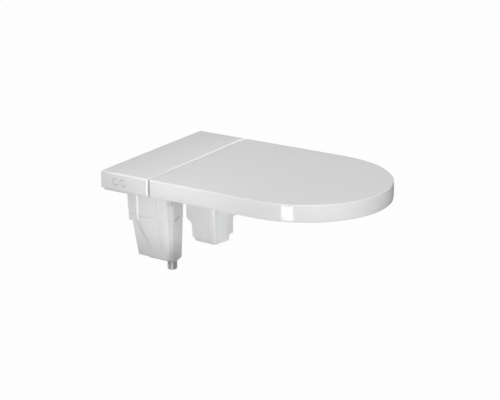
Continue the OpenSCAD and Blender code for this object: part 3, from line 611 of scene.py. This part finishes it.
# Lower edge of the cover: skirt level, with a notch in the front for the wand and the dryer's air.
def coverLowEdge(x, y):
    s = coverSet
    a, b = s["notch"]
    notched = (y < s["front"] + 0.01) & (x > a - 0.3) & (x < b + 0.3)
    return np.where(notched, s["notchZ"], s["skirt"])


addPiece(sweptShell("lidShell", lidSet, lidLowEdge), "lid", "white_gloss", ["lid_shell"])

# Side buttons and their bores: profiles of (radius, way out of the cover's side) turned about X
buttonSet = {
    "face": -186.5, "z": 23.0, "y": {"wash": 26.3, "stop": 45.6},
    "bore": ((0, -6), (7.7, -6), (7.7, -0.3), (8.0, 0.05), (8.0, 2), (0, 2)),
    "cap": ((0, -1.5), (1.1, -1.45), (1.3, -0.2), (1.55, 0.1), (5.9, 0.2), (6.5, 0.1), (6.8, -0.2),
            (6.9, -0.7), (6.9, -3.2), (3.4, -3.4), (3.4, -5.4), (0, -5.4)),
}


# A bore is turned at the cover's face and mirrored there.
def boreMesh(s, which):
    mesh = turned("bore", s["bore"], "x", (s["face"], 0, 0), 64)
    return cleanMesh(movePoints(mesh, (2 * s["face"], s["y"][which], s["z"]), (-1, 1, 1)))


# A cap is turned at the origin, mirrored there and moved to its place.
def capMesh(s, which):
    mesh = turned(which + "ButtonCap", s["cap"], "x", (0, 0, 0), 64)
    return cleanMesh(movePoints(mesh, (s["face"], s["y"][which], s["z"]), (-1, 1, 1)))


bores = [boreMesh(buttonSet, which) for which in buttonSet["y"]]
cover = cutOut(sweptShell("rearCover", coverSet, coverLowEdge), bores)
addPiece(cover, "base", "white_gloss", ["rear_cover"])
print("lid and cover made")
for which in buttonSet["y"]:
    addPiece(capMesh(buttonSet, which), which + "_button", "white_gloss", [which + "_button"], 40)
print("buttons made")

# Seat ring: two closed rings lofted between the outer outline and the egg-shaped opening
seatSet = {
    "half": 177.5, "rear": -84.5, "noseCentre": -295.0, "nose": 186.0, "cornerR": 6.0, "flatness": 0.9,
    "open": (107.5, -255.0, 150.0, 140.0), "top": 35.0, "split": 14.0, "low": 8.0, "wall": 3.0,
    "outerR": 6.0, "innerR": 8.0, "dish": 1.4, "marks": (),
    # half width, the hinge line's Y and Z, the tongue's end radius and underside
    "tongue": (92.0, -60.5, 30.0, 8.0, 22.0), "tongueMiddle": (-73.0, 29.0),
    "barrelR": 7.0, "knuckleEnd": 108.0,
}


# Outer points on the D outline and, on the same ray from the opening's centre, points of the egg.
def ringOutline(s):
    outer = shellOutline(s)[:, :2]
    half, cy, back, front = s["open"]
    d = outer - np.array([0, cy])
    reach = np.hypot(d[:, 0], d[:, 1])
    d = d / reach[:, None]
    egg = 1 / np.sqrt((d[:, 0] / half) ** 2 + (d[:, 1] / np.where(d[:, 1] > 0, back, front)) ** 2)
    return outer, np.array([0, cy]) + d * egg[:, None], reach - egg


# Closed ring: pairs of (distance in from the outline or from the opening, height) carried round.
def ringPiece(name, s, profile):
    outer, inner, width = ringOutline(s)
    rows = []
    for side, o, z, dish in profile:
        w = np.clip(o / width, 0, 0.49) if side == "out" else 1 - np.clip(o / width, 0, 0.49)
        if side == "mid":
            w = o + 0 * width
        p = outer * (1 - w[:, None]) + inner * w[:, None]
        rows.append(np.c_[p, z - dish * smoothStep(width, 30, 70)])
    return gridMesh(name, np.array(rows), wrapRows=True)


# Eased joint between the shells: (distance in, way from the split line) from the outer face inwards
jointEase = ((0, 0.6), (0.15, 0.15), (0.5, 0))


# Section of the upper shell: up the outer face, over the dished top, down into the opening, back inside.
def seatTopProfile(s):
    t, a, b, w, sp, d = s["top"], s["outerR"], s["innerR"], s["wall"], s["split"], s["dish"]
    out = [("out", o, sp + z, 0) for o, z in jointEase[::-1]]
    out += [("out", 0, 21, 0)]
    out += [("out", a - r, t - a + z, 0) for r, z in arc(a, 0, 90, 9)]
    out += [("mid", k, t, d * share) for k, share in ((0.25, 0.6), (0.4, 1), (0.55, 1), (0.7, 0.6))]
    out += [("in", b - r, t - b + z, 0) for r, z in arc(b, 90, 0, 11)]
    out += [("in", 0, 20, 0)]
    out += [("in", o, sp + z, 0) for o, z in jointEase]
    out += [("in", w, sp, 0), ("in", w, t - b, 0), ("in", b, t - w - 1, 0), ("mid", 0.6, t - w, d + 0.4)]
    out += [("mid", 0.4, t - w, d + 0.4), ("out", a, t - w - 1, 0), ("out", w, t - a, 0), ("out", w, sp, 0)]
    return out


# Section of the lower shell: down the outer face, under the ring, up in the opening, back inside.
def seatBottomProfile(s):
    lo, sp, w, r = s["low"], s["split"], s["wall"], 2
    out = [("out", w, sp, 0)]
    out += [("out", o, sp - z, 0) for o, z in jointEase[::-1]]
    out += [("out", 0, lo + r, 0)]
    out += [("out", r - x, lo + r + z, 0) for x, z in arc(r, 0, -90, 6)]
    out += [("mid", 0.3, lo, 0), ("mid", 0.7, lo, 0)]
    out += [("in", r - x, lo + r + z, 0) for x, z in arc(r, -90, 0, 6)]
    out += [("in", o, sp - z, 0) for o, z in jointEase]
    out += [("in", w, sp, 0), ("in", w, lo + w, 0)]
    out += [("mid", 0.6, lo + w, 0), ("mid", 0.4, lo + w, 0), ("out", w, lo + w, 0)]
    return out


seatTop = ringPiece("seatTop", seatSet, seatTopProfile(seatSet))
addPiece(seatTop, "seat", "white_gloss", ["seat_top_shell"], 40)
seatBottom = ringPiece("seatBottom", seatSet, seatBottomProfile(seatSet))
addPiece(seatBottom, "seat", "white_satin", ["seat_bottom_shell"], 40)


# One section in Y and Z carried along X by (x, scale about the middle) pairs, and closed at both ends.
def carried(name, section, middle, stations):
    rows = [np.c_[np.full(len(section), x), middle + (section - middle) * k] for x, k in stations]
    return gridMesh(name, np.array(rows), capTop=True, capBottom=True)


# Tongue behind the ring, with a rounded rear and eased ends.
def tongueMesh(s):
    half, hy, hz, r, under = s["tongue"]
    a = np.radians(np.linspace(38.7, -90, 15))
    nose = np.stack([hy + r * np.cos(a), hz + r * np.sin(a)], -1)
    section = np.concatenate([[[s["rear"] - 4, s["top"]], [hy - 3, s["top"]], [hy + 4, s["top"]]], nose,
                              [[hy - 3, under], [s["rear"] - 1, under], [s["rear"] - 4, under]]])
    section[:, 1] = np.minimum(section[:, 1], s["top"])
    ends = ((half, 0.95), (half - 0.15, 0.975), (half - 0.6, 1))
    stations = [(-x, k) for x, k in ends] + [(x, 1) for x in (-60, -30, 0, 30, 60)] + list(ends[::-1])
    return carried("seatTongue", section, np.array(s["tongueMiddle"]), stations)


addPiece(tongueMesh(seatSet), "seat", "white_gloss", ["seat_top_shell"], 40)


# Hinge knuckle: a rounded barrel about the pin with its web to the ring, on one side.
def knuckleMesh(s, side):
    half, hy, hz, _, _ = s["tongue"]
    r, end, rear, top = s["barrelR"], s["knuckleEnd"], s["rear"] - 3, s["top"]
    a = np.radians(np.linspace(90, -150, 29))
    barrel = np.stack([hy + r * np.cos(a), hz + r * np.sin(a)], -1)
    section = np.concatenate([barrel, [[rear, 24], [rear, top - 0.4], [hy - 4, top - 0.3]]])
    section[:, 1] = np.minimum(section[:, 1], top - 0.2)
    stations = ((half - 0.5, 1), (half + 8, 1), (end - 0.6, 1), (end - 0.15, 0.97), (end, 0.93))
    name = "seatKnuckle" + ("Left" if side > 0 else "Right")
    return carried(name, section, np.array([hy, hz]), [(side * x, k) for x, k in stations])


for side in (-1, 1):
    addPiece(knuckleMesh(seatSet, side), "seat", "white_gloss", ["seat_top_shell"], 40)
print("seat made")


# Legs: upright sections given by their corners at each height, corners rounded, sides divided.
# A corner's round is the parabola from C - in*r to C + out*r with C as its control point.
def sectionRings(corners, radii, counts, steps=5):
    before, after = np.roll(corners, 1, 1), np.roll(corners, -1, 1)
    toPrev, toNext = before - corners, after - corners
    lenPrev = np.linalg.norm(toPrev, axis=2, keepdims=True)
    lenNext = np.linalg.norm(toNext, axis=2, keepdims=True)
    r = np.asarray(radii, float)[None, :, None]
    a = corners + toPrev / np.maximum(lenPrev, 1e-6) * np.minimum(r, 0.45 * lenPrev)
    b = corners + toNext / np.maximum(lenNext, 1e-6) * np.minimum(r, 0.45 * lenNext)
    t = np.linspace(0, 1, steps)[None, None, :, None]
    rounds = (1 - t) ** 2 * a[:, :, None] + 2 * t * (1 - t) * corners[:, :, None] + t ** 2 * b[:, :, None]
    ring, edge = [], []
    for k in range(corners.shape[1]):
        ring.append(rounds[:, k])
        edge += [-1] * steps
        u = np.linspace(0, 1, counts[k] + 2)[None, 1:-1, None]
        nextA = a[:, (k + 1) % corners.shape[1], None]
        ring.append(b[:, k, None] * (1 - u) + nextA * u)
        edge += [k] * counts[k]
    return np.concatenate(ring, 1), np.array(edge)


# Skin of a leg through its rings: its outer face may be moved along X before the wall grows inwards.
def legSkin(node, rings, zs, wall, bevel, closed=False, cuts=(), moved=0.0):
    first, *others = node.split("_")
    name = first + "".join(word.title() for word in others)
    pts = np.concatenate([rings, np.repeat(zs[:, None, None], rings.shape[1], 1)], -1)
    pts[..., 0] += moved
    obj = bpy.data.objects.new("work", gridMesh(name, pts, capBottom=closed))
    bpy.context.collection.objects.link(obj)
    solid = obj.modifiers.new("wall", "SOLIDIFY")
    solid.thickness, solid.offset, solid.use_even_offset = wall * mm, -1, False
    made = bpy.data.meshes.new_from_object(obj.evaluated_get(bpy.context.evaluated_depsgraph_get()))
    bpy.data.objects.remove(obj)
    made.name = name
    if cuts:
        made = cutOut(made, cuts)
        made.name = name + "Open"
    addPiece(made, "base", "white_satin", [node], 35, bevel)


# Box of a size about a point, tilted about Y.
def boxMesh(name, size, at, tilt=0.0):
    x, y, z = [np.array([-0.5, 0.5]) * k for k in size]
    pts = np.array([[x[i], y[j], z[k]] for k in (0, 1) for i, j in ((0, 0), (1, 0), (1, 1), (0, 1))])
    c, n = math.cos(math.radians(tilt)), math.sin(math.radians(tilt))
    pts = pts @ np.array([[c, 0, -n], [0, 1, 0], [n, 0, c]])
    pts = pts + np.array(at)
    faces = [(3, 2, 1, 0), (4, 5, 6, 7), (0, 1, 5, 4), (1, 2, 6, 5), (2, 3, 7, 6), (3, 0, 4, 7)]
    mesh = bpy.data.meshes.new(name)
    mesh.from_pydata((pts * mm).tolist(), [], faces)
    return cleanMesh(mesh)


waterLegSet = {
    "top": 2.4, "bottom": -140.0, "wall": 2.4, "bevel": 0.45, "front": -80.5,
    "outer": (-164.0, -161.6),  # X of the outer face at the top and at the bottom
    "chamfer": ((-70.6, -154.0), (-75.6, -157.5)),  # Y on the outer face, X on the front, top and bottom
    "innerZ": (-140.0, -136.0, 2.4), "innerX": (-142.0, -127.0, -118.0),
    "rearZ": (-140.0, -137.01, -137.0, -63.51, -63.5, 2.4), "rearY": (-18.0, -18.0, 7.0, 20.8, 30.2, 33.5),
    # slab under the leg: its top, how far it steps in at once, and how far it slopes in over a height
    "slab": (-137.005, 0.5, 3.0, 3.0),
    # rows of the two halves, which meet at a seam
    "upper": (2.4, -3, -8, -14, -20, -27, -34, -41, -46, -48.5, -48.8),
    "lower": (-49.2, -49.5, -52, -58, -63.5, -63.51, -70, -76, -82, -88, -94, -100, -106, -112, -118, -124,
              -130, -136, -137.0, -137.01, -139.0, -140.0),
    "rounds": (1.2, 0.8, 0.8, 2.0, 2.0), "divisions": (90, 5, 14, 8, 6),
    # each swell: heights, then its rear edge, front edge and rise at those heights, and the crest's place
    "swells": (((2.4, -60, -75, -90, -105, -118), (9.3, 9.3, 3.5, -6.5, -18, -27),
                (-41, -42.5, -42, -38, -33, -29), (5.4, 5.0, 4.4, 3.4, 1.8, 0.0), 0.3),
               ((2.4, -60, -80, -95, -110, -122), (-44, -45, -46, -48, -51, -54),
                (-69.5, -70, -70.5, -71, -72, -73), (3.4, 3.0, 2.6, 1.9, 0.9, 0.0), 0.42)),
    # slots in the front, the first across the seam: size, X, Z
    "slots": (((20, 12, 2.4), -143, -47.2), ((12, 12, 1.5), -144, -52.6)), "slotTilt": -14,
    "pipeHole": {"r": 9.7, "z": (-132, -145), "at": (-143, -66.5, 0)},
}


# Rise of the outer face: each swell is two arcs that meet at its crest, fading downwards.
def swellRise(s, y, z):
    rise = np.zeros(np.broadcast(y, z).shape)
    for heights, left, right, amount, crest in s["swells"]:
        order = np.argsort(heights)
        hz = np.array(heights, float)[order]
        a, b, h = (np.interp(z, hz, np.array(k, float)[order]) for k in (left, right, amount))
        u = np.clip((a - y) / (a - b), 0, 1)
        arcs = np.where(u < crest, 1 - ((crest - u) / crest) ** 2, 1 - ((u - crest) / (1 - crest)) ** 2)
        rise = rise + h * arcs
    return rise


# Corners run straight between the named heights, and the outer face rises by its swells.
def waterLeg(s):
    for half, slots in (("upper", s["slots"][:1]), ("lower", s["slots"])):
        z = np.array(s[half], float)
        f = (s["top"] - z) / (s["top"] - s["bottom"])
        outer = s["outer"][0] + (s["outer"][1] - s["outer"][0]) * f
        inner, rear = np.interp(z, s["innerZ"], s["innerX"]), np.interp(z, s["rearZ"], s["rearY"])
        (y0, x0), (y1, x1) = s["chamfer"]
        front = np.full(len(z), s["front"])
        cutY, cutX = y0 + (y1 - y0) * f, x0 + (x1 - x0) * f
        corners = np.stack([np.c_[outer, rear], np.c_[outer, cutY], np.c_[cutX, front], np.c_[inner, front],
                            np.c_[inner, rear]], 1)
        slabTop, step, slope, tall = s["slab"]
        corners[:, :2, 0] += (slope * np.clip((slabTop - z) / tall, 0, 1) + step * (z < slabTop))[:, None]
        rings, edge = sectionRings(corners, s["rounds"], s["divisions"])
        move = np.where((edge == 0)[None, :], -swellRise(s, rings[..., 1], z[:, None]), 0)
        cuts = [boxMesh("slot", size, (x, s["front"], height), s["slotTilt"]) for size, x, height in slots]
        if half == "lower":
            hole = s["pipeHole"]
            cuts.append(turned("pipeHole", [(hole["r"], k) for k in hole["z"]], "z", hole["at"], 48))
        legSkin("water_leg_" + half, rings, z, s["wall"], s["bevel"], half == "lower", cuts, move)


waterLeg(waterLegSet)

# Filled corner high on the leg, above its chamfer, and the base plate's lip that shows below the cover
padSet = {"size": (6.0, 10.6, 14.0), "at": (-161.2, -74.8, -7.2), "bevel": 0.5}
lipSet = {
    "half": 182.0, "rear": 80.0, "front": -38.0, "cornerR": 3.0, "z": (0.1, 5.25), "round": 1.2, "depth": 6.5,
}


# Box with all its edges bevelled.
def padMesh(s):
    mesh = boxMesh("waterLegPad", s["size"], (0, 0, 0))
    bm = bmesh.new()
    bm.from_mesh(mesh)
    bmesh.ops.bevel(bm, geom=list(bm.edges), offset=s["bevel"] * mm, segments=2, affect="EDGES", profile=0.5)
    bm.to_mesh(mesh)
    bm.free()
    return movePoints(mesh, s["at"])


addPiece(padMesh(padSet), "base", "white_satin", ["water_leg_upper"])


# Lip: a small profile carried round the left, rear and right edges, its ends drawn to a point.
def lipMesh(s):
    h, r, rear = s["half"], s["cornerR"], s["rear"]
    a = np.radians(np.linspace(180, 90, 7))
    side = np.linspace(s["front"] + 0.4, rear - r, 24)
    left = np.stack([-h + 0 * side, side, -1 + 0 * side, 0 * side], -1)
    turn = np.stack([-h + r + r * np.cos(a), rear - r + r * np.sin(a), np.cos(a), np.sin(a)], -1)
    half = np.concatenate([left, turn])
    mirror = half[::-1] * np.array([-1, 1, -1, 1])
    path = np.concatenate([half, mirror])
    (z0, z1), k, deep = s["z"], s["round"] / 2, s["depth"]
    profile = np.array([(0.2, z1), (0, z1 - 0.2), (0, z0 + k), (0.2, z0 + 0.15), (k, z0), (deep, z0),
                        (deep, z1)])
    xy = path[None, :, :2] - profile[:, None, :1] * path[None, :, 2:]
    pts = np.concatenate([xy, np.repeat(profile[:, None, 1:], len(path), 1)], -1)
    ends = np.repeat(pts[:, [0, -1]].mean(0, keepdims=True), len(profile), 0)
    pts = np.concatenate([ends[:, :1], pts, ends[:, 1:]], 1)
    return gridMesh("basePlateLip", pts, wrapRows=True, wrapCols=False)


addPiece(lipMesh(lipSet), "base", "white_satin", ["base_plate"])

electricLegSet = {
    "wall": 2.4, "bevel": 0.5,
    # corners of the neck's section, from the rear left round the front to the rear right
    "neck": ((98.0, 50.0), (98.0, -16.0), (98.0, -18.5), (98.0, -21.5), (104.2, -23.0), (109.0, -24.2),
             (125.0, -28.0), (165.0, -28.0), (165.0, 50.0)),
    "upperRounds": (2, 0.2, 0.2, 0.8, 0.2, 0.2, 3, 2, 2), "upperDivisions": (6, 1, 1, 1, 1, 2, 5, 8, 6),
    # Y of the fourth to sixth corners of the closed top inside the neck
    "insideY": (-19.5, -20.6, -21.8),
    "upper": (2.4, 1.5, -20, -45, -70, -91, -92.2),
    "lower": (-92, -92, -92, -92.9, -96, -104, -118, -132.7, -134, -134.01, -145.4, -158, -172, -172.01,
              -173.6, -180, -184.2, -185.0),
    "rearZ": (-185.0, -173.6, -145.4, -132.7, -92.0), "rearY": (33.0, 39.3, 41.0, 56.0, 56.0),
    "outerZ": (-185.0, -173.6, -92.0), "outerX": (88.5, 84.0, 84.0),
    "innerZ": (-185.0, -172.01, -172.0, -134.01, -134.0, -92.0),
    "innerX": (135.0, 135.0, 151.0, 151.0, 165.0, 165.0),
    # round column at the front left corner of the lower case: its Y, how far it stands in, and its X
    "columnY": (-6.0, -7.2, -22.4, -20.8), "columnIn": 1.2, "columnX": (94.6, 96.4),
    # shares of the outer face's slope that the column follows, and the scale of the last section
    "follows": (0.2, 0.6), "foot": (0.975, 0.98),
    "lowerRounds": (4, 0.8, 0.8, 8.2, 0.8, 0.9, 3, 3, 3), "lowerDivisions": (10, 1, 2, 1, 1, 6, 5, 10, 8),
    "glandHole": ((13.1, 12, 13.1), (131.5, 50, -60)),
}


# A neck of one section, and a case below it whose corners run straight between the named heights.
def electricLeg(s):
    w, neck = s["wall"], np.array(s["neck"])
    frontX, yf = s["neck"][6]
    z = np.array(s["upper"], float)
    corners = np.tile(neck, (len(z), 1, 1))
    rings, _ = sectionRings(corners, s["upperRounds"], s["upperDivisions"])
    legSkin("electric_leg_upper", rings, z, w, s["bevel"], False, [boxMesh("glandHole", *s["glandHole"])])
    z = np.array(s["lower"], float)
    rear = np.interp(z, s["rearZ"], s["rearY"])
    out, inner = np.interp(z, s["outerZ"], s["outerX"]), np.interp(z, s["innerZ"], s["innerX"])
    shift = out - s["outerX"][-1]
    ya, yb, yc, yd = s["columnY"]
    xa, xb = s["columnX"]
    inset, few, most = s["columnIn"], *s["follows"]
    places = ((out, rear), (out, ya), (out - inset, yb), (out - inset + few * shift, yc),
              (xa + most * shift, yc), (xb + most * shift, yd), (frontX, yf), (inner, yf), (inner, rear))
    corners = np.stack([np.stack(np.broadcast_arrays(x, y, z)[:2], -1) for x, y in places], 1)
    # the first two rows close the top inside the neck
    inward = np.array([(1, -1), (1, 0), (1, 0), (1, 0), (0, 0), (0, 0), (0, 1), (-1, 1), (-1, -1)])
    corners[0] = neck + w * inward
    corners[0, 3:6, 1] = s["insideY"]
    corners[1] = corners[0] * 0.5 + corners[2] * 0.5
    middle = corners[-1].mean(0)
    corners[-1] = middle + (corners[-1] - middle) * np.array(s["foot"])
    rings, _ = sectionRings(corners, s["lowerRounds"], s["lowerDivisions"], 8)
    legSkin("electric_leg_lower", rings, z, w, s["bevel"], True)


electricLeg(electricLegSet)
print("legs made")

# Threaded inlet: radius over turn angle and height follows a shallow helix with rounded crests
inletSet = {
    "at": (-143.0, -66.5), "top": -140.4, "bottom": -160.0, "r": 10.48, "depth": 0.75, "pitch": 1.814,
    "bore": 6.0, "boreEnd": -150.0, "neckR": 9.55, "neckTop": -138.0,
}


def inletMesh(s):
    z = np.linspace(s["top"], s["bottom"] + 1.0, 125)
    a = np.linspace(0, 2 * np.pi, 97)[:-1]
    phase = 2 * np.pi * (z[:, None] / s["pitch"]) - a[None]
    fade = smoothStep(s["top"] - z, 0, 1.5) * smoothStep(z - s["bottom"], 0.4, 2.4)
    thread = s["depth"] * (0.5 - 0.5 * np.cos(phase)) * fade[:, None]
    r = s["r"] - thread - (1 - fade)[:, None] * s["depth"] * 0.8
    rows = [np.stack([r * np.cos(a), r * np.sin(a), z[:, None] + 0 * a[None]], -1)]
    bore, bottom = s["bore"], s["bottom"]
    ends = ((s["r"] - 1.0, bottom + 0.5), (s["r"] - 1.4, bottom), (bore + 0.5, bottom), (bore, bottom + 0.5),
            (bore, s["boreEnd"]), (bore, s["neckTop"]), (s["neckR"], s["neckTop"]), (s["neckR"], s["top"]))
    for radius, height in ends:
        rows.append(np.stack([radius * np.cos(a), radius * np.sin(a), 0 * a + height], -1)[None])
    pts = np.concatenate(rows) + np.array([*s["at"], 0])
    return gridMesh("inletThread", pts, wrapRows=True)


addPiece(inletMesh(inletSet), "base", "plated_inlet", ["water_inlet_connector"], 50)
print("inlet made")

# Nodes whose own shape is right: a copy with softened edges stands for each
softSet = {
    0.5: ("base_plate", "dryer_duct", "nozzle_guide", "lid_hinge_brackets", "hinge_block_left",
          "hinge_block_right", "seat_damper", "lid_damper", "dryer_flap", "mounting_bracket"),
    0.8: ("rim_pads", "seat_bumpers", "lid_bumpers", "mains_gland"),
    0.35: ("fixing_bolts", "expansion_dowels", "hinge_pin_left", "hinge_pin_right", "seat_screws",
           "leg_screws", "cover_screws", "lid_hinge_screws", "hinge_block_screws", "nozzle_head",
           "nozzle_shield"),
}
for width, nodes in softSet.items():
    for node in nodes:
        softened(node, width)
print("softened copies made")
